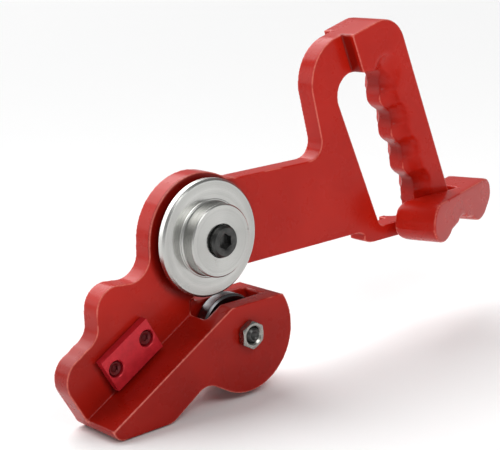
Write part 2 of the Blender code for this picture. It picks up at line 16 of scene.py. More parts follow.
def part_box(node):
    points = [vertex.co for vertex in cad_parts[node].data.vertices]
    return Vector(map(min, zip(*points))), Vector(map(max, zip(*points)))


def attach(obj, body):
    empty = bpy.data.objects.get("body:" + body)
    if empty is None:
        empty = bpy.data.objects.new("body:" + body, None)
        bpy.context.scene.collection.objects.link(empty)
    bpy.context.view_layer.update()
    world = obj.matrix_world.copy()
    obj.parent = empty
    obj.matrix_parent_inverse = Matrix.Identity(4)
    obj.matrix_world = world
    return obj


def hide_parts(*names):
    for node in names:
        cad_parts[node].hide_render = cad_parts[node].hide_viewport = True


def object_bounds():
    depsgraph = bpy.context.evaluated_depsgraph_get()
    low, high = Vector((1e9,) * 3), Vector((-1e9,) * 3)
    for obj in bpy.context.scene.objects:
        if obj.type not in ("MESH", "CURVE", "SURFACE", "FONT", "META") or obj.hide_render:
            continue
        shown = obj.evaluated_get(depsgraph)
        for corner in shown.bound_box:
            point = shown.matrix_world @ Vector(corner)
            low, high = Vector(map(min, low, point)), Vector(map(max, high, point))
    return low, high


MM = 0.001
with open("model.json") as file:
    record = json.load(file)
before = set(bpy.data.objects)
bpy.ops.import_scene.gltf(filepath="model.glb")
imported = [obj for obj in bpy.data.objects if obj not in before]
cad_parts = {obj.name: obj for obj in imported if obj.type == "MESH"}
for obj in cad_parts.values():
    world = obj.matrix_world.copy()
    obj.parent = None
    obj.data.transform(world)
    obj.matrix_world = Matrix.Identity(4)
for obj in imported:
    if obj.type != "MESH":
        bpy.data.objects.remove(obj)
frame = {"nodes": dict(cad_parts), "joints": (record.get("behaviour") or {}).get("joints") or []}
cad_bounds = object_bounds()
JOINTS = {joint["name"]: joint for joint in frame["joints"]}

# How the castings are rounded.
CAST_VOXEL = 0.5
GROOVE_PASSES = 34
RIM_PASSES = 24
EDGE_RADIUS = 1.6                  # an edge this tight counts as fully convex

# Places on the castings, which the wear, the painted highlights and the painted shade follow.
LEDGE_SLOPE = math.radians(29.6)
SEAT_FOOT = -9.7                   # X where the sloping ledge would reach the seat
WALL_FRONT = 16.9                  # Y of the plate's front
GRIP_LEAN = math.radians(23.9)
GRIP_PITCH = 22.0
RIDGE_START = (120.2, 83.4)        # X and Z of the first finger ridge
GRIP_DEPTH = (8.7, 33.7)           # Y of the grip's two faces
HOLLOW_DEPTH = 7.4                 # how far the hollows reach in from those faces
STEP_TOP = (88.55, 133.6)          # X and Z of the top of the step above the finger hole
STEP_FOOT = 101.0
STEP_LEAN = math.radians(20.6)
GROOVES_TOP = -32.0                # this and the next three start at the first ridge, along or across the row
GROOVES_FOOT = 73.0
GROOVES_REACH = 20.0
BROW_SPAN = (-20.0, -14.0)
# Radius of the painted shadow round the disc.
DISC_SHADOW_RADIUS = 35.0
BLOCK_SHADOW_SHIFT = (1.2, 0.9)      # most of the block's painted shadow lies at its lower left
SEAM_WIDTH = 1.6
SHADED_BELOW = 14.0                  # Z where the painted shade of the lower end begins

# Guide block.
BLOCK_LENGTH = 31.8
BLOCK_HEIGHT = 18.6
BLOCK_BORE = 2.7
BLOCK_COUNTERBORE = 4.2
BLOCK_FLOOR = 1.4

# Disc roller, measured back from the front of its hub.
DISC_FACE = 8.2
HUB_RADIUS = 18.4
HUB_WINDOW = 8.35
WINDOW_DEPTH = 3.3
DISC_POCKET = 15.1

# Thread radius of each screw, and of the holes that fit round the two axles.
SHANKS = {"upper_axle_screw": 4.9, "lower_axle_screw": 3.9, "guide_block_screw_1": 2.4,
          "guide_block_screw_2": 2.4, "heel_grip_screw_1": 2.0, "heel_grip_screw_2": 2.0}
UPPER_BORE = 5.3
LOWER_BORE = 4.3

# Studio, in metres.
FLOOR_SIZE = 300
FLOOR_GAP = 0.0006
SUN_DIRECTION = (-0.05, -0.62, -0.78)
SUN_ENERGY = 3.0
SUN_ANGLE = math.radians(60)
LAMP_SIZE = 0.4

# Camera.
CAMERA_PLACE = (-420.9, -494.4, 199.3)
CAMERA_YAW = math.radians(40.95)
CAMERA_PITCH = math.radians(13.83)
CAMERA_ROLL = math.radians(-2.41)
CAMERA_LENS = 97.96


# ---------------------------------------------------------------- materials

def node_kit(name):
    """A new material with its tree, its Principled shader and two short helpers."""
    material = bpy.data.materials.new(name)
    material.use_nodes = True
    tree = material.node_tree
    shader = tree.nodes["Principled BSDF"]

    def add(kind, **settings):
        node = tree.nodes.new(kind)
        for key, value in settings.items():
            if key in node.inputs:
                node.inputs[key].default_value = value
            else:
                setattr(node, key, value)
        return node

    def link(source, target):
        tree.links.new(source, target)

    return material, shader, add, link


def ramp_node(add, stops):
    """A ramp of greys with the given (place, value) stops."""
    ramp = add("ShaderNodeValToRGB")
    elements = ramp.color_ramp.elements
    while len(elements) < len(stops):
        elements.new(0.5)
    for element, (place, value) in zip(elements, stops):
        element.position = place
        element.color = (value, value, value, 1)
    return ramp


def ramped(add, link, socket, stops):
    ramp = ramp_node(add, stops)
    link(socket, ramp.inputs["Fac"])
    return ramp.outputs["Color"]


def noise(add, link, vector, scale, detail=3.0, roughness=0.5):
    node = add("ShaderNodeTexNoise", Scale=scale, Detail=detail, Roughness=roughness)
    link(vector, node.inputs["Vector"])
    return node.outputs["Fac"]


def mix_colour(add, link, factor, first, second):
    """Mixes two colours or colour sockets by a factor socket."""
    mix = add("ShaderNodeMix", data_type="RGBA")
    link(factor, mix.inputs["Factor"])
    colour_inputs = [socket for socket in mix.inputs if socket.type == "RGBA"]
    for socket, value in zip(colour_inputs, (first, second)):
        if isinstance(value, tuple):
            socket.default_value = (*value, 1)
        else:
            link(value, socket)
    return [socket for socket in mix.outputs if socket.type == "RGBA"][0]


def scaled(add, link, socket, factor, offset=0.0):
    node = add("ShaderNodeMath", operation="MULTIPLY_ADD")
    link(socket, node.inputs[0])
    node.inputs[1].default_value = factor
    node.inputs[2].default_value = offset
    return node.outputs[0]


def product(add, link, first, second):
    node = add("ShaderNodeMath", operation="MULTIPLY")
    link(first, node.inputs[0])
    link(second, node.inputs[1])
    return node.outputs[0]


def bumped(add, link, shader, layers):
    """Chains bump layers of (height socket, distance in mm, strength) into the shader."""
    previous = None
    for height, distance, strength in layers:
        bump = add("ShaderNodeBump", Distance=distance * MM, Strength=strength)
        link(height, bump.inputs["Height"])
        if previous:
            link(previous, bump.inputs["Normal"])
        previous = bump.outputs["Normal"]
    link(previous, shader.inputs["Normal"])


def paint_material(name, light, dark, wear_and_highlight, shade_colour):
    """Satin paint on a casting: faint mottling, edges lightened by rubbed wear and painted highlight, painted
    shade in the corners and a lower end darkened by painted shade.
    """
    material, shader, add, link = node_kit(name)
    place = add("ShaderNodeTexCoord").outputs["Object"]
    cloud = noise(add, link, place, scale=28.0, detail=4.0, roughness=0.55)
    colour = mix_colour(add, link, ramped(add, link, cloud, [(0.32, 0.0), (0.70, 1.0)]), dark, light)
    # Painted shade: the paint darkens in noisy patches towards the lower end of the casting.
    split = add("ShaderNodeSeparateXYZ")
    link(place, split.inputs[0])
    low = add("ShaderNodeMapRange", **{"From Min": SHADED_BELOW * MM, "From Max": -SHADED_BELOW * MM})
    link(split.outputs["Z"], low.inputs["Value"])
    shade_patches = noise(add, link, place, scale=45.0, detail=3.0, roughness=0.5)
    lower_shade = product(add, link, low.outputs["Result"], ramped(add, link, shade_patches, [(0.25, 0.28), (0.75, 0.48)]))
    colour = mix_colour(add, link, lower_shade, colour, shade_colour)
    # Painted shade: creases and corners darken, and so do the painted shadows round the disc and block, on
    # the step's face and in the finger grooves.
    painted_shade = add("ShaderNodeAttribute", attribute_name="painted_shade").outputs["Fac"]
    corner = ramped(add, link, painted_shade, [(0.20, 0.0), (0.80, 0.75)])
    colour = mix_colour(add, link, corner, colour, shade_colour)
    # Edges lighten towards a paler paint: partly rubbed wear, partly painted highlight, plus a painted
    # highlight line along the ledge seam.
    edge = add("ShaderNodeAttribute", attribute_name="edge").outputs["Fac"]
    crest = ramped(add, link, edge, [(0.38, 0.0), (0.95, 1.0)])
    speck = noise(add, link, place, scale=420.0, detail=3.0, roughness=0.6)
    rubbed_and_glint = product(add, link, crest, ramped(add, link, speck, [(0.30, 0.45), (0.65, 1.0)]))
    colour = mix_colour(add, link, scaled(add, link, rubbed_and_glint, 0.8), colour, wear_and_highlight)
    link(colour, shader.inputs["Base Color"])
    patch = noise(add, link, place, scale=60.0, detail=4.0, roughness=0.6)
    link(scaled(add, link, patch, 0.12, 0.22), shader.inputs["Roughness"])
    shader.inputs["Coat Weight"].default_value = 0.05
    shader.inputs["Coat Roughness"].default_value = 0.12
    shader.inputs["Specular IOR Level"].default_value = 0.15
    grain = noise(add, link, place, scale=1100.0, detail=3.0, roughness=0.6)
    waves = noise(add, link, place, scale=130.0, detail=2.0, roughness=0.5)
    bumped(add, link, shader, [(waves, 0.10, 0.25), (grain, 0.02, 0.35)])
    return material


def turned_material(name, colour, dark, roughness, ring_scale, bump, anisotropy=0.0):
    """Lathe-turned metal: fine rings round the piece's own Y axis, with broader bands of tone."""
    material, shader, add, link = node_kit(name)
    place = add("ShaderNodeTexCoord").outputs["Object"]
    split = add("ShaderNodeSeparateXYZ")
    link(place, split.inputs[0])
    flat = add("ShaderNodeCombineXYZ")
    link(split.outputs["X"], flat.inputs["X"])
    link(split.outputs["Z"], flat.inputs["Y"])
    length = add("ShaderNodeVectorMath", operation="LENGTH")
    link(flat.outputs[0], length.inputs[0])
    ring = add("ShaderNodeMath", operation="ADD")
    link(length.outputs["Value"], ring.inputs[0])
    link(split.outputs["Y"], ring.inputs[1])

    def rings(scale, detail):
        node = add("ShaderNodeTexNoise", noise_dimensions="1D", Scale=scale, Detail=detail)
        link(ring.outputs[0], node.inputs["W"])
        return node.outputs["Fac"]

    fine = rings(ring_scale, 3.0)
    broad = rings(ring_scale * 0.09, 2.0)
    smudge = noise(add, link, place, scale=90.0, detail=4.0, roughness=0.6)
    tone = mix_colour(add, link, ramped(add, link, broad, [(0.30, 0.55), (0.72, 1.0)]), dark, colour)
    tone = mix_colour(add, link, ramped(add, link, fine, [(0.40, 0.35), (0.60, 0.0)]), tone, dark)
    tone = mix_colour(add, link, ramped(add, link, smudge, [(0.55, 0.0), (0.85, 0.30)]), tone, dark)
    link(tone, shader.inputs["Base Color"])
    shader.inputs["Metallic"].default_value = 1.0
    shader.inputs["Anisotropic"].default_value = anisotropy
    if anisotropy:
        tangent = add("ShaderNodeTangent", direction_type="RADIAL", axis="Y")
        link(tangent.outputs[0], shader.inputs["Tangent"])
    link(scaled(add, link, smudge, 0.08, roughness - 0.04), shader.inputs["Roughness"])
    bumped(add, link, shader, [(broad, 0.01, 0.2), (fine, 0.006, bump)])
    return material


def metal_material(name, colour, dark, roughness, grain=0.02, metallic=1.0, scale=700.0):
    """Plated, blackened or anodised metal, rubber or nylon: a cloudy tone and a fine grain."""
    material, shader, add, link = node_kit(name)
    place = add("ShaderNodeTexCoord").outputs["Object"]
    cloud = noise(add, link, place, scale=220.0, detail=4.0, roughness=0.6)
    tone = mix_colour(add, link, ramped(add, link, cloud, [(0.30, 0.0), (0.68, 1.0)]), dark, colour)
    link(tone, shader.inputs["Base Color"])
    shader.inputs["Metallic"].default_value = metallic
    link(scaled(add, link, cloud, 0.18, roughness - 0.09), shader.inputs["Roughness"])
    fine = noise(add, link, place, scale=scale, detail=3.0, roughness=0.6)
    bumped(add, link, shader, [(fine, grain, 0.5)])
    return material


def make_materials():
    return {
        # red_paint: the paler edge colour is rubbed wear and painted highlight; the darkest colour is painted
        # shade.
        "red_paint": paint_material("red_paint_cast", light=(0.50, 0.014, 0.006), dark=(0.43, 0.009, 0.003),
                                    wear_and_highlight=(0.80, 0.22, 0.17), shade_colour=(0.09, 0.002, 0.001)),
        "crimson_anodised": metal_material("crimson_anodised_block", (0.64, 0.020, 0.034),
                                           (0.48, 0.010, 0.020), roughness=0.40, grain=0.03, metallic=0.35,
                                           scale=1500.0),
        "painted_screw": metal_material("painted_screw_head", (0.15, 0.005, 0.007), (0.07, 0.002, 0.003),
                                        roughness=0.34, grain=0.03, metallic=0.4, scale=1500.0),
        "turned_steel": turned_material("turned_steel_disc", (0.58, 0.58, 0.56), (0.36, 0.36, 0.345),
                                        roughness=0.26, ring_scale=2600.0, bump=0.35, anisotropy=0.85),
        "hardened_roller": turned_material("hardened_roller_steel", (0.16, 0.16, 0.165),
                                           (0.075, 0.075, 0.08), roughness=0.26, ring_scale=2200.0, bump=0.3),
        "bearing_steel": turned_material("ground_bearing_steel", (0.72, 0.72, 0.73), (0.60, 0.60, 0.61),
                                         roughness=0.14, ring_scale=3000.0, bump=0.1),
        "bearing_seal": metal_material("nitrile_seal", (0.035, 0.035, 0.036), (0.018, 0.018, 0.018),
                                       roughness=0.62, metallic=0.0),
        "zinc_plated_steel": metal_material("zinc_plate", (0.40, 0.39, 0.36), (0.24, 0.235, 0.22),
                                            roughness=0.26),
        "black_oxide": metal_material("black_oxide_screw", (0.085, 0.085, 0.082), (0.035, 0.035, 0.034),
                                      roughness=0.33, metallic=0.85),
        "nylon_insert": metal_material("nylon_collar", (0.12, 0.25, 0.55), (0.08, 0.18, 0.44),
                                       roughness=0.50, grain=0.01, metallic=0.0),
    }


# ---------------------------------------------------------------- mesh tools

def new_piece(name, mesh, location=(0, 0, 0)):
    piece = bpy.data.objects.new(name, mesh)
    piece.location = location
    bpy.context.scene.collection.objects.link(piece)
    return piece


def bake(piece):
    """Applies the piece's modifiers."""
    bpy.context.view_layer.update()
    graph = bpy.context.evaluated_depsgraph_get()
    mesh = bpy.data.meshes.new_from_object(piece.evaluated_get(graph))
    piece.modifiers.clear()
    piece.data = mesh


def dress(piece, body, node, slot, sharp=32):
    """Gives a piece its shading, its material and its body, and hides the CAD node that it stands for."""
    piece.data.shade_smooth()
    if sharp:
        piece.data.set_sharp_from_angle(angle=math.radians(sharp))
    weights = piece.modifiers.new("weights", "WEIGHTED_NORMAL")
    weights.keep_sharp = True
    piece.data.materials.clear()
    piece.data.materials.append(MATERIALS[slot])
    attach(piece, body)
    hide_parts(node)


def rounded(points, steps=3, loop=True):
    """Points of (radius, y, fillet), with each corner turned into a small arc."""
    smooth = []
    count = len(points)
    for i, (r, y, fillet) in enumerate(points):
        if fillet <= 0 or (not loop and i in (0, count - 1)):
            smooth.append((r, y))
            continue
        corner = Vector((r, y))
        to_last = Vector(points[i - 1][:2]) - corner
        to_next = Vector(points[(i + 1) % count][:2]) - corner
        inwards = (to_last.normalized() + to_next.normalized()).normalized()
        half = to_last.angle(to_next) / 2
        reach = min(fillet / math.tan(half), 0.48 * to_last.length, 0.48 * to_next.length)
        radius = reach * math.tan(half)
        centre = corner + inwards * (radius / math.sin(half))
        first = corner + to_last.normalized() * reach - centre
        last = corner + to_next.normalized() * reach - centre
        start = math.atan2(first.y, first.x)
        sweep = (math.atan2(last.y, last.x) - start + math.pi) % (2 * math.pi) - math.pi
        for k in range(steps + 1):
            angle = start + sweep * k / steps
            smooth.append((centre.x + radius * math.cos(angle), centre.y + radius * math.sin(angle)))
    return smooth


def revolve(name, rows, location, segments=96, loop=True):
    """A skin round the Y axis. A row is a (radius, y) point, or a function of the angle that gives one."""
    angles = [2 * math.pi * i / segments for i in range(segments)]
    bm = bmesh.new()
    rings = []
    for row in rows:
        if not callable(row) and row[0] < 1e-6:
            rings.append([bm.verts.new((0, row[1] * MM, 0))] * segments)
            continue
        ring = []
        for angle in angles:
            r, y = row(angle) if callable(row) else row
            ring.append(bm.verts.new((r * MM * math.cos(angle), y * MM, r * MM * math.sin(angle))))
        rings.append(ring)
    pairs = list(zip(rings, rings[1:]))
    if loop:
        pairs.append((rings[-1], rings[0]))
    for first, second in pairs:
        for i in range(segments):
            j = (i + 1) % segments
            corners = []
            for vert in (first[i], first[j], second[j], second[i]):
                if vert not in corners:
                    corners.append(vert)
            if len(corners) > 2:
                bm.faces.new(corners)
    bmesh.ops.recalc_face_normals(bm, faces=bm.faces)
    mesh = bpy.data.meshes.new(name)
    bm.to_mesh(mesh)
    bm.free()
    return new_piece(name, mesh, location)


def centre_of(node):
    lo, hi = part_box(node)
    return (Vector(lo) + Vector(hi)) / 2


def span_y(node):
    """Front and rear of a node along Y, in millimetres."""
    lo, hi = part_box(node)
    return lo[1] / MM, hi[1] / MM


def half_width(node):
    lo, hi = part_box(node)
    return (hi[0] - lo[0]) / 2 / MM


def cut(piece, cutter):
    """Cuts a shape out of a piece and removes the cutter."""
    modifier = piece.modifiers.new("cut", "BOOLEAN")
    modifier.operation = "DIFFERENCE"
    modifier.solver = "EXACT"
    modifier.object = cutter
    bake(piece)
    bpy.data.objects.remove(cutter, do_unlink=True)


def prism(name, radius, front, rear, location, sides):
    """A bar of regular section along Y."""
    bm = bmesh.new()
    bmesh.ops.create_cone(bm, cap_ends=True, segments=sides, radius1=radius * MM, radius2=radius * MM,
                          depth=(rear - front) * MM)
    place = Matrix.Translation((0, (front + rear) / 2 * MM, 0))
    bmesh.ops.transform(bm, verts=bm.verts, matrix=place @ Matrix.Rotation(-math.pi / 2, 4, "X"))
    mesh = bpy.data.meshes.new(name)
    bm.to_mesh(mesh)
    bm.free()
    return new_piece(name, mesh, location)


# ---------------------------------------------------------------- castings

def grip_place(points):
    """Each point's place down the line of ridges, into the grip from it, and back from the nearer face."""
    down = np.array([math.sin(GRIP_LEAN), -math.cos(GRIP_LEAN)])
    into = np.array([math.cos(GRIP_LEAN), math.sin(GRIP_LEAN)])
    flat = points[:, [0, 2]] / MM - np.array(RIDGE_START)
    depth = points[:, 1] / MM
    return flat @ down, flat @ into, np.minimum(depth - GRIP_DEPTH[0], GRIP_DEPTH[1] - depth)


def fade_in(value, start, reach):
    """0 up to the start, then rising to 1 over the reach."""
    return np.clip((value - start) / reach, 0, 1)


def fade_out(value, end, reach):
    """Falls from 1 to 0 over the reach, down to 0 at the end."""
    return np.clip((end - value) / reach, 0, 1)


def near_grooves(points, deepest):
    """How much each point belongs to the hollows in the grip's two faces, from 0 to 1."""
    along, across, from_face = grip_place(points)
    nearest = np.interp(along, BROW_SPAN, (-10, 0.5))
    inside = fade_in(along, GROOVES_TOP, 4) * fade_out(along, GROOVES_FOOT, 5)
    inside *= fade_in(across, nearest, 2) * fade_out(across, GROOVES_REACH, 4)
    return inside * fade_out(from_face, deepest, 1.6)


def groove_shade(points):
    """How much painted shade darkens each point of the grooves and hollows, from 0 to 1."""
    along, across, from_face = grip_place(points)
    in_groove = 0.5 - 0.5 * np.cos(2 * math.pi * along / GRIP_PITCH)
    inside = fade_in(along, -26, 8) * fade_in(across, -7, 4) * fade_out(across, 12, 8)
    return inside * fade_in(from_face, 0, 4) * (0.35 + 0.65 * in_groove)


def on_plate_front(points):
    """How close each point is to the front of the plate, from 0 to 1."""
    return fade_out(np.abs(points[:, 1] / MM - WALL_FRONT), 2.0, 1.0)


def disc_shadow(points):
    """How much painted shadow of the disc darkens each point of the plate behind and round it, from 0 to 1.
    """
    axis = JOINTS["upper_roller_spin"]["pos_m"]
    from_axis = np.hypot(points[:, 0] - axis[0], points[:, 2] - axis[2]) / MM
    return fade_out(from_axis, DISC_SHADOW_RADIUS, 4.5) * on_plate_front(points)


def step_face_shade(points):
    """How much painted shade darkens each point of the step's face at the top of the handle, from 0 to 1."""
    x, y, z = points.T / MM
    off_step = np.abs((x - STEP_TOP[0]) * math.cos(STEP_LEAN) + (z - STEP_TOP[1]) * math.sin(STEP_LEAN))
    between = fade_in(y, GRIP_DEPTH[0] + 1.0, 2.0) * fade_out(y, WALL_FRONT + 1.5, 1.0)
    return fade_out(off_step, 1.8, 1.0) * between * (z > STEP_FOOT)


def block_shadow(points):
    """How much painted shadow of the guide block darkens each point of the plate round it, from 0 to 1."""
    middle = centre_of("guide_block")
    right = (points[:, 0] - middle.x) / MM
    up = (points[:, 2] - middle.z) / MM
    along = right * math.cos(LEDGE_SLOPE) + up * math.sin(LEDGE_SLOPE)
    lift = up * math.cos(LEDGE_SLOPE) - right * math.sin(LEDGE_SLOPE)
    outside = np.maximum(np.abs(along + BLOCK_SHADOW_SHIFT[0]) - BLOCK_LENGTH / 2,
                         np.abs(lift + BLOCK_SHADOW_SHIFT[1]) - BLOCK_HEIGHT / 2)
    return fade_out(outside, 2.4, 2.4) * on_plate_front(points)


def shade_and_shadows(points):
    """The darkest of the casting's painted shade and painted shadows at each point, from 0 to 1."""
    kinds = (0.62 * groove_shade(points), 0.8 * disc_shadow(points), 0.6 * step_face_shade(points),
             0.8 * block_shadow(points))
    return np.max(kinds, axis=0)


def ledge_seam_highlight(points):
    """How close each point is to the corner between the ledge and the wall above it, from 0 to 1. It lights
    that corner as a painted highlight line.
    """
    x, y, z = points.T / MM
    off_ledge = np.abs((z - math.tan(LEDGE_SLOPE) * (x - SEAT_FOOT)) * math.cos(LEDGE_SLOPE))
    near = fade_out(off_ledge, SEAM_WIDTH, 1.0) * fade_out(np.abs(y - WALL_FRONT), SEAM_WIDTH, 1.0)
    return near * (x < SEAT_FOOT)


def coordinates(mesh):
    points = np.empty(len(mesh.vertices) * 3)
    mesh.vertices.foreach_get("co", points)
    return points.reshape(-1, 3)


def directions(mesh):
    normals = np.empty(len(mesh.vertices) * 3)
    mesh.vertex_normals.foreach_get("vector", normals)
    return normals.reshape(-1, 3)


def rims(mesh):
    """Marks the walls that run straight back along Y, away from their front and rear edges."""
    return fade_out(np.abs(directions(mesh)[:, 1]), 0.30, 0.15)


def smooth_where(piece, weights, passes):
    """Smooths a piece by each point's own weight, from 0 to 1."""
    group = piece.vertex_groups.new(name="where")
    for index in np.nonzero(weights > 0.01)[0]:
        group.add([int(index)], float(weights[index]), "REPLACE")
    rub = piece.modifiers.new("rub", "SMOOTH")
    rub.factor = 0.5
    rub.iterations = passes
    rub.vertex_group = "where"
    bake(piece)
    piece.vertex_groups.clear()


def curvature_marks(mesh):
    """Stores how convex ("edge": rubbed wear and painted highlight) and how concave the surface is (painted
    shade) at each point.
    """
    count = len(mesh.vertices)
    points = coordinates(mesh)
    normals = directions(mesh)
    edges = np.empty(len(mesh.edges) * 2, dtype=np.int64)
    mesh.edges.foreach_get("vertices", edges)
    first, second = edges.reshape(-1, 2).T
    step = points[second] - points[first]
    length = np.maximum((step ** 2).sum(1), 1e-12)
    bend = ((normals[second] - normals[first]) * step).sum(1) / length
    total = np.bincount(first, bend, count) + np.bincount(second, bend, count)
    number = np.bincount(first, minlength=count) + np.bincount(second, minlength=count)
    bend = total / np.maximum(number, 1)
    spread = np.bincount(first, bend[second], count) + np.bincount(second, bend[first], count)
    bend = 0.5 * bend + 0.5 * spread / np.maximum(number, 1)
    bend *= EDGE_RADIUS * MM
    # Painted highlight: a light line along the ledge seam, which also clears the painted shade there.
    seam = ledge_seam_highlight(points)
    edge = bend * (1 - near_grooves(points, HOLLOW_DEPTH + 3.0)) + seam
    # Painted shade: concave corners and creases, together with the painted shadows and shade marks, darken
    # the paint.
    painted_shade = np.maximum(-bend * (1 - seam), shade_and_shadows(points))
    for name, values in (("edge", edge), ("painted_shade", painted_shade)):
        attribute = mesh.attributes.new(name, "FLOAT", "POINT")
        attribute.data.foreach_set("value", np.clip(values, 0, 1).astype(np.float32))


def cast_skin(name, node, passes, keep):
    """A casting's surface: the CAD solid with every edge and corner rounded as a mould leaves them."""
    mesh = frame["nodes"][node].data.copy()
    mesh.materials.clear()
    piece = new_piece(name, mesh)
    remesh = piece.modifiers.new("remesh", "REMESH")
    remesh.mode = "VOXEL"
    remesh.voxel_size = CAST_VOXEL * MM
    remesh.adaptivity = 0.0
    bake(piece)
    soften = piece.modifiers.new("soften", "SMOOTH")
    soften.factor = 0.5
    soften.iterations = passes
    bake(piece)
    smooth_where(piece, rims(piece.data), RIM_PASSES)
    if node == "frame_casting":
        smooth_where(piece, near_grooves(coordinates(piece.data), HOLLOW_DEPTH - 1.2), GROOVE_PASSES)
    thin = piece.modifiers.new("thin", "DECIMATE")
    thin.ratio = keep
    bake(piece)
    curvature_marks(piece.data)
    return piece


# ---------------------------------------------------------------- fasteners

def socket_screw(name, node, facing, across_flats, pitch, head_height, socket, knurls=36, slot="black_oxide",
                 sunk=0.0, width=0.96):
    """A cap screw: knurled head with a hexagon socket, shank and a real thread near its tip.

    facing is -1 when the head is at the front. sunk takes some height off the head, and width is the
    head's share of the node's width.
    """
    front, rear = span_y(node)
    front += sunk
    head_height -= sunk
    middle = centre_of(node)
    head = half_width(node) * width
    length = rear - front
    shank = SHANKS[node]
    knurl_depth = 0.14
    threads = 9
    steps_per_turn = 6

    def knurled(radius, y):
        return lambda angle: (radius - knurl_depth * (0.5 + 0.5 * math.cos(knurls * angle)), y)

    def thread(y):
        def point(angle):
            turn = (y / pitch - angle / (2 * math.pi)) % 1
            return shank - 0.5 * pitch * abs(2 * turn - 1), y
        return point

    dome = head * 0.13
    rows = rounded([(0, 0, 0), (head * 0.87, 0, 0.12), (head, dome, 0.2)], 3, False)[:-1]
    rows.append((head - 0.05, head * 0.15))
    for share in (0.22, 0.5, 0.78):
        rows.append(knurled(head, head_height * share + dome * (1 - share)))
    rows += [(head - 0.05, head_height - 0.25), (head - 0.3, head_height), (shank, head_height)]
    thread_start = max(length - threads * pitch, head_height + 1)
    thread_end = length - 0.8
    rows.append((shank, thread_start - 0.5))
    steps = int((thread_end - thread_start) / pitch * steps_per_turn)
    for k in range(steps + 1):
        rows.append(thread(thread_start + (thread_end - thread_start) * k / steps))
    rows += [(shank - 0.6 * pitch, length - 0.3), (shank - 0.9 * pitch, length)]
    rows += [(shank - 1.3 * pitch, length), (shank - 1.6 * pitch, length - 0.5), (0, length - 1.4)]
    place = (middle.x, 0, middle.z)
    screw = revolve(name, rows, place, 4 * knurls, False)
    corner = across_flats / 2 / math.cos(math.pi / 6)
    cut(screw, prism("key", corner, -1, socket, place, 6))
    mouth = [(0, -1), (corner + 2.1, -1), (corner - 0.3, 0.5), (0, 0.5)]
    cut(screw, revolve("mouth", mouth, place, 48, False))
    screw.location.y = front * MM
    if facing > 0:
        screw.data.transform(Matrix.Rotation(math.pi, 4, "X"))
        screw.data.update()
        screw.location.y = rear * MM
    dress(screw, "body", node, slot, 34)


def hex_nut(name, node, across_flats, bore, sink):
    """A hexagon nut with its corners up and down, turned off at both ends, and a countersunk bore."""
    front, rear = span_y(node)
    middle = centre_of(node)
    height = rear - front
    flat = across_flats / 2
    face = flat * 0.965
    widest = flat * 1.135
    rise = math.tan(math.radians(30))
    break_width, break_height = 0.06, 0.12

    def across(angle):
        offset = (angle + math.pi / 6) % (math.pi / 3) - math.pi / 6
        return min(flat / math.cos(offset), widest)

    def crown(angle):
        return (across(angle) - face) * rise

    rows = [(bore, sink), (bore + sink, 0.0), (face - 0.2, 0.0), (face, 0.04)]
    rows.append(lambda angle: (across(angle) - break_width, crown(angle)))
    rows.append(lambda angle: (across(angle), crown(angle) + break_height))
    rows.append(lambda angle: (across(angle), height - crown(angle) - break_height))
    rows.append(lambda angle: (across(angle) - break_width, height - crown(angle)))
    rows += [(face, height - 0.04), (face - 0.2, height), (bore + sink, height), (bore, height - sink)]
    nut = revolve(name, rows, (middle.x, front * MM, middle.z), 144)
    dress(nut, "body", node, "zinc_plated_steel", 28)


def plain_ring(name, node, inner, slot="zinc_plated_steel", fillet=0.3):
    """A washer, spacer, bush or collar with softly broken corners."""
    front, rear = span_y(node)
    middle = centre_of(node)
    outer = half_width(node)
    height = rear - front
    rows = rounded([(inner, 0, 0.15), (outer, 0, fillet), (outer, height, fillet), (inner, height, 0.15)])
    dress(revolve(name, rows, (middle.x, front * MM, middle.z)), "body", node, slot)


# ---------------------------------------------------------------- rollers and bearings

def disc_roller():
    """The big disc with its hub: broken rim, fine groove round the hub's root, and a window for the screw."""
    front, rear = span_y("upper_roller")
    axis = JOINTS["upper_roller_spin"]["pos_m"]
    rim = half_width("upper_roller")
    depth = rear - front
    relief = DISC_FACE - 0.25          # floor of the shallow groove round the hub's root
    rows = rounded([
        (DISC_POCKET + 0.3, depth - 0.4, 0.1), (DISC_POCKET + 0.8, depth, 0.1), (rim - 0.7, depth, 0.4),
        (rim, depth - 0.7, 0.4), (rim, DISC_FACE + 1.0, 0.35), (rim - 1.0, DISC_FACE, 0.45),
        (HUB_RADIUS + 1.4, DISC_FACE, 0.05), (HUB_RADIUS + 1.1, relief, 0.1),
        (HUB_RADIUS + 0.6, relief, 0.2), (HUB_RADIUS, DISC_FACE - 0.9, 0.3), (HUB_RADIUS, 0.7, 0.3),
        (HUB_RADIUS - 0.7, 0, 0.3), (HUB_WINDOW + 0.25, 0, 0.1), (HUB_WINDOW, 0.25, 0.1),
        (HUB_WINDOW, WINDOW_DEPTH, 0.1), (DISC_POCKET, WINDOW_DEPTH, 0.1)], 4)
    disc = revolve("disc_roller", rows, (axis[0], front * MM, axis[2]), 192)
    dress(disc, "upper_roller_body", "upper_roller", "turned_steel", 30)


def small_roller():
    """The hardened roller that carries the sheet from below."""
    front, rear = span_y("lower_roller")
    axis = JOINTS["lower_roller_spin"]["pos_m"]
    rim = half_width("lower_roller")
    pocket = 11.1
    depth = rear - front
    rows = rounded([
        (pocket, 0.3, 0.1), (pocket + 0.4, 0, 0.1), (rim - 1.0, 0, 0.5), (rim, 1.0, 0.5),
        (rim, depth - 1.0, 0.5), (rim - 1.0, depth, 0.5), (pocket + 0.4, depth, 0.1),
        (pocket, depth - 0.3, 0.1)], 4)
    roller = revolve("small_roller", rows, (axis[0], front * MM, axis[2]), 144)
    dress(roller, "lower_roller_body", "lower_roller", "hardened_roller", 30)


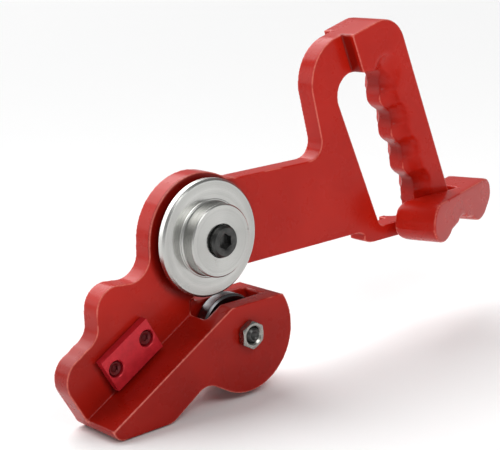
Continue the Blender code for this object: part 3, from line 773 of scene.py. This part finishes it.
def race_groove(pitch, width, radius, reach, outwards):
    """A ring's ball groove, from front to rear in the inner ring and from rear to front in the outer."""
    turns = [outwards * -reach * k / 4 for k in range(-4, 5)]
    return [(pitch + outwards * radius * math.cos(turn), width / 2 + radius * math.sin(turn))
            for turn in turns]


def ribbon(name, pitch, width, ball, balls, side, place):
    """Half of a bearing's cage: a thin wavy ring that bows round each ball."""
    def row(radius, lift):
        def point(angle):
            wave = abs(math.sin(angle * balls / 2)) ** 0.8
            return radius, width / 2 + side * (lift + ball * 0.72 * wave)
        return point

    inner, outer = pitch - 0.5, pitch + 0.5
    rows = [row(inner, 0.05), row(outer, 0.05), row(outer, 0.35), row(inner, 0.35)]
    return revolve(name, rows, place, balls * 16)


def ball_cage(prefix, pitch, width, ball, balls, place):
    """A bearing's ribbon cage, joined to the balls that it carries round."""
    pieces = [ribbon(prefix + "_ribbon", pitch, width, ball, balls, side, place) for side in (-1, 1)]
    for i in range(balls):
        angle = 2 * math.pi * (i + 0.5) / balls
        bm = bmesh.new()
        bmesh.ops.create_uvsphere(bm, u_segments=24, v_segments=16, radius=(ball - 0.12) * MM)
        bmesh.ops.translate(bm, verts=bm.verts, vec=(pitch * MM * math.cos(angle), width / 2 * MM,
                                                     pitch * MM * math.sin(angle)))
        mesh = bpy.data.meshes.new("ball")
        bm.to_mesh(mesh)
        bm.free()
        pieces.append(new_piece("ball", mesh, place))
    join(pieces)
    pieces[0].name = prefix + "_cage_and_balls"
    return pieces[0]


def bearing_seal(prefix, side, inner, outer, axis):
    """A thin rubber seal with three low ridges on its face."""
    node = "%s_bearing_seal_%s" % (prefix, side)
    front, rear = span_y(node)
    thick = rear - front
    ridges = [(inner + (outer - inner) * share, -0.12 * math.sin(math.pi * 3 * share) ** 2)
              for share in (0.1, 0.25, 0.4, 0.5, 0.6, 0.75, 0.9)]
    rows = [(inner, thick), (inner, 0)] + ridges + [(outer, 0), (outer, thick)]
    seal = revolve(prefix + "_seal_" + side, rows, (axis[0], front * MM, axis[2]))
    dress(seal, prefix + "_roller_body", node, "bearing_seal")


def bearing(prefix, bore, outer, pitch, ball, balls):
    """A ball bearing: two grooved rings, a cage with its balls, and two seals."""
    axis = JOINTS[prefix + "_roller_spin"]["pos_m"]
    front, rear = span_y(prefix + "_bearing_outer_ring")
    width = rear - front
    place = (axis[0], front * MM, axis[2])
    half = ball * 0.62
    outer_land, inner_land = pitch + half, pitch - half
    groove = ball + 0.1
    reach = math.atan2(math.sqrt(groove ** 2 - half ** 2), half)
    rows = rounded([(outer_land, 0, 0.1), (outer, 0, 0.4), (outer, width, 0.4), (outer_land, width, 0.1)])
    race = revolve(prefix + "_race_outer", rows + race_groove(pitch, width, groove, reach, 1), place, 120)
    dress(race, prefix + "_roller_body", prefix + "_bearing_outer_ring", "bearing_steel")
    rows = rounded([(inner_land, width, 0.1), (bore, width, 0.3), (bore, 0, 0.3), (inner_land, 0, 0.1)])
    race = revolve(prefix + "_race_inner", rows + race_groove(pitch, width, groove, reach, -1), place)
    dress(race, "body", prefix + "_bearing_inner_ring", "bearing_steel")
    cage = ball_cage(prefix, pitch, width, ball, balls, place)
    dress(cage, prefix + "_cage_body", prefix + "_bearing_cage", "bearing_steel")
    for side in ("front", "rear"):
        bearing_seal(prefix, side, inner_land + 0.25, outer_land - 0.25, axis)


def join(pieces):
    """Joins pieces that share one place into the first of them."""
    bm = bmesh.new()
    for piece in pieces:
        bm.from_mesh(piece.data)
    mesh = bpy.data.meshes.new(pieces[0].name)
    bm.to_mesh(mesh)
    bm.free()
    pieces[0].data = mesh
    for piece in pieces[1:]:
        bpy.data.objects.remove(piece, do_unlink=True)


# ---------------------------------------------------------------- guide block

def guide_block():
    """The bolted block above the ledge: broken corners and two counterbores."""
    middle = centre_of("guide_block")
    front, rear = span_y("guide_block")
    thick = rear - front
    bm = bmesh.new()
    bmesh.ops.create_cube(bm, size=1.0)
    bmesh.ops.scale(bm, verts=bm.verts, vec=(BLOCK_LENGTH * MM, thick * MM, BLOCK_HEIGHT * MM))
    bmesh.ops.rotate(bm, verts=bm.verts, cent=(0, 0, 0), matrix=Matrix.Rotation(-LEDGE_SLOPE, 3, "Y"))
    mesh = bpy.data.meshes.new("block")
    bm.to_mesh(mesh)
    bm.free()
    block = new_piece("ledge_block", mesh, middle)
    mouth = [(0, -1), (BLOCK_COUNTERBORE + 1.4, -1), (BLOCK_COUNTERBORE - 0.2, 0.6), (0, 0.6)]
    for number in (1, 2):
        screw = centre_of("guide_block_screw_%d" % number)
        place = (screw.x, middle.y, screw.z)
        cut(block, prism("bore", BLOCK_BORE, -thick, thick, place, 48))
        cut(block, prism("counterbore", BLOCK_COUNTERBORE, -thick, thick / 2 - BLOCK_FLOOR, place, 64))
        cut(block, revolve("mouth", mouth, (screw.x, front * MM, screw.z), 64, False))
    edge = block.modifiers.new("edge", "BEVEL")
    edge.width = 0.4 * MM
    edge.segments = 3
    edge.limit_method = "ANGLE"
    edge.angle_limit = math.radians(40)
    bake(block)
    dress(block, "body", "guide_block", "crimson_anodised", 30)


# ---------------------------------------------------------------- studio

def pale_floor():
    """A plain floor just under the tool, wide enough to reach the horizon."""
    lowest = cad_bounds[0][2]
    bpy.ops.mesh.primitive_plane_add(size=FLOOR_SIZE, location=(0, 0, lowest - FLOOR_GAP))
    floor = bpy.context.object
    floor.name = "floor"
    material = bpy.data.materials.new("pale_floor")
    material.use_nodes = True
    shader = material.node_tree.nodes["Principled BSDF"]
    shader.inputs["Base Color"].default_value = (0.92, 0.92, 0.92, 1)
    shader.inputs["Roughness"].default_value = 0.7
    shader.inputs["Specular IOR Level"].default_value = 0.2
    floor.data.materials.append(material)


def surroundings():
    """A grey sky that turns pale towards the horizon, where it meets the floor."""
    world = bpy.data.worlds.new("studio")
    world.use_nodes = True
    tree = world.node_tree
    direction = tree.nodes.new("ShaderNodeTexCoord")
    split = tree.nodes.new("ShaderNodeSeparateXYZ")
    tree.links.new(direction.outputs["Generated"], split.inputs[0])
    sky = ramp_node(tree.nodes.new, [(0.0, 0.85), (0.05, 0.55), (0.14, 0.33), (0.6, 0.26)])
    sky.color_ramp.interpolation = "EASE"
    tree.links.new(split.outputs["Z"], sky.inputs["Fac"])
    tree.links.new(sky.outputs["Color"], tree.nodes["Background"].inputs["Color"])
    bpy.context.scene.world = world


def place_light(name, data, location, target):
    light = bpy.data.objects.new(name, data)
    light.location = location
    light.rotation_euler = (target - location).to_track_quat("-Z", "Y").to_euler()
    bpy.context.scene.collection.objects.link(light)


def lamp(name, offset, target_offset, power):
    """A soft round lamp, placed and aimed from the middle of the tool."""
    middle = (Vector(cad_bounds[0]) + Vector(cad_bounds[1])) / 2
    data = bpy.data.lights.new(name, "AREA")
    data.shape = "DISK"
    data.size = LAMP_SIZE
    data.energy = power
    place_light(name, data, middle + Vector(offset), middle + Vector(target_offset))


def lights():
    """Broad light from above and behind, a key lamp at the front left and a rim lamp at the back left."""
    sun = bpy.data.lights.new("overhead", "SUN")
    sun.energy = SUN_ENERGY
    sun.angle = SUN_ANGLE
    place_light("overhead", sun, Vector(), Vector(SUN_DIRECTION))
    lamp("key", (-0.15, -0.50, 0.45), (0.05, 0, 0.03), 1.6)
    lamp("rim", (-0.50, 0.45, 0.22), (0, 0, 0), 0.9)


def camera():
    """A long lens, seen from the front left and a little above."""
    flat = math.cos(CAMERA_PITCH)
    forward = Vector((math.sin(CAMERA_YAW) * flat, math.cos(CAMERA_YAW) * flat, -math.sin(CAMERA_PITCH)))
    level = Vector((math.cos(CAMERA_YAW), -math.sin(CAMERA_YAW), 0))
    upright = level.cross(forward)
    right = level * math.cos(CAMERA_ROLL) + upright * math.sin(CAMERA_ROLL)
    up = upright * math.cos(CAMERA_ROLL) - level * math.sin(CAMERA_ROLL)
    turn = Matrix((right, up, -forward)).transposed()
    data = bpy.data.cameras.new("camera")
    data.lens = CAMERA_LENS
    data.sensor_width = 36.0
    data.clip_start, data.clip_end = 0.05, 400
    viewer = bpy.data.objects.new("camera", data)
    viewer.matrix_world = Matrix.Translation(Vector(CAMERA_PLACE) * MM) @ turn.to_4x4()
    bpy.context.scene.collection.objects.link(viewer)
    bpy.context.scene.camera = viewer


MATERIALS = make_materials()
painted_frame = cast_skin("painted_frame", "frame_casting", passes=3, keep=0.3)
dress(painted_frame, "body", "frame_casting", "red_paint", 0)
painted_heel_grip = cast_skin("painted_heel_grip", "heel_grip", passes=30, keep=0.4)
dress(painted_heel_grip, "body", "heel_grip", "red_paint", 0)
disc_roller()
small_roller()
bearing("upper", UPPER_BORE, outer=15.0, pitch=10.0, ball=2.38, balls=8)
bearing("lower", LOWER_BORE, outer=11.0, pitch=7.5, ball=1.98, balls=7)
guide_block()
socket_screw("upper_cap_screw", "upper_axle_screw", facing=-1, across_flats=7.2, pitch=1.5, head_height=4.7,
             socket=3.6, width=1.0)
socket_screw("lower_cap_screw", "lower_axle_screw", facing=1, across_flats=6.0, pitch=1.25, head_height=8.0,
             socket=4.6)
for index in (1, 2):
    socket_screw("block_cap_screw_%d" % index, "guide_block_screw_%d" % index, facing=-1, across_flats=3.2,
                 pitch=0.8, head_height=2.2, socket=1.3, knurls=28, slot="painted_screw", sunk=0.7)
    socket_screw("heel_cap_screw_%d" % index, "heel_grip_screw_%d" % index, facing=1, across_flats=3.0,
                 pitch=0.7, head_height=4.0, socket=2.2, knurls=28)
hex_nut("thin_nut", "lower_axle_nut", across_flats=13.0, bore=4.2, sink=0.9)
hex_nut("lock_nut", "upper_axle_locknut", across_flats=16.45, bore=5.2, sink=0.6)
plain_ring("hub_bush", "upper_front_bush", UPPER_BORE, fillet=0.5)
plain_ring("disc_spacer", "upper_rear_spacer", UPPER_BORE)
plain_ring("wide_washer", "upper_axle_washer", UPPER_BORE)
plain_ring("nylon_collar", "upper_locknut_insert", UPPER_BORE, "nylon_insert", fillet=0.6)
plain_ring("slot_spacer_front", "lower_front_spacer", LOWER_BORE)
plain_ring("slot_spacer_rear", "lower_rear_spacer", LOWER_BORE)
plain_ring("small_washer", "lower_axle_washer", LOWER_BORE)
pale_floor()
surroundings()
lights()
camera()
bpy.context.scene.view_settings.view_transform = "Standard"
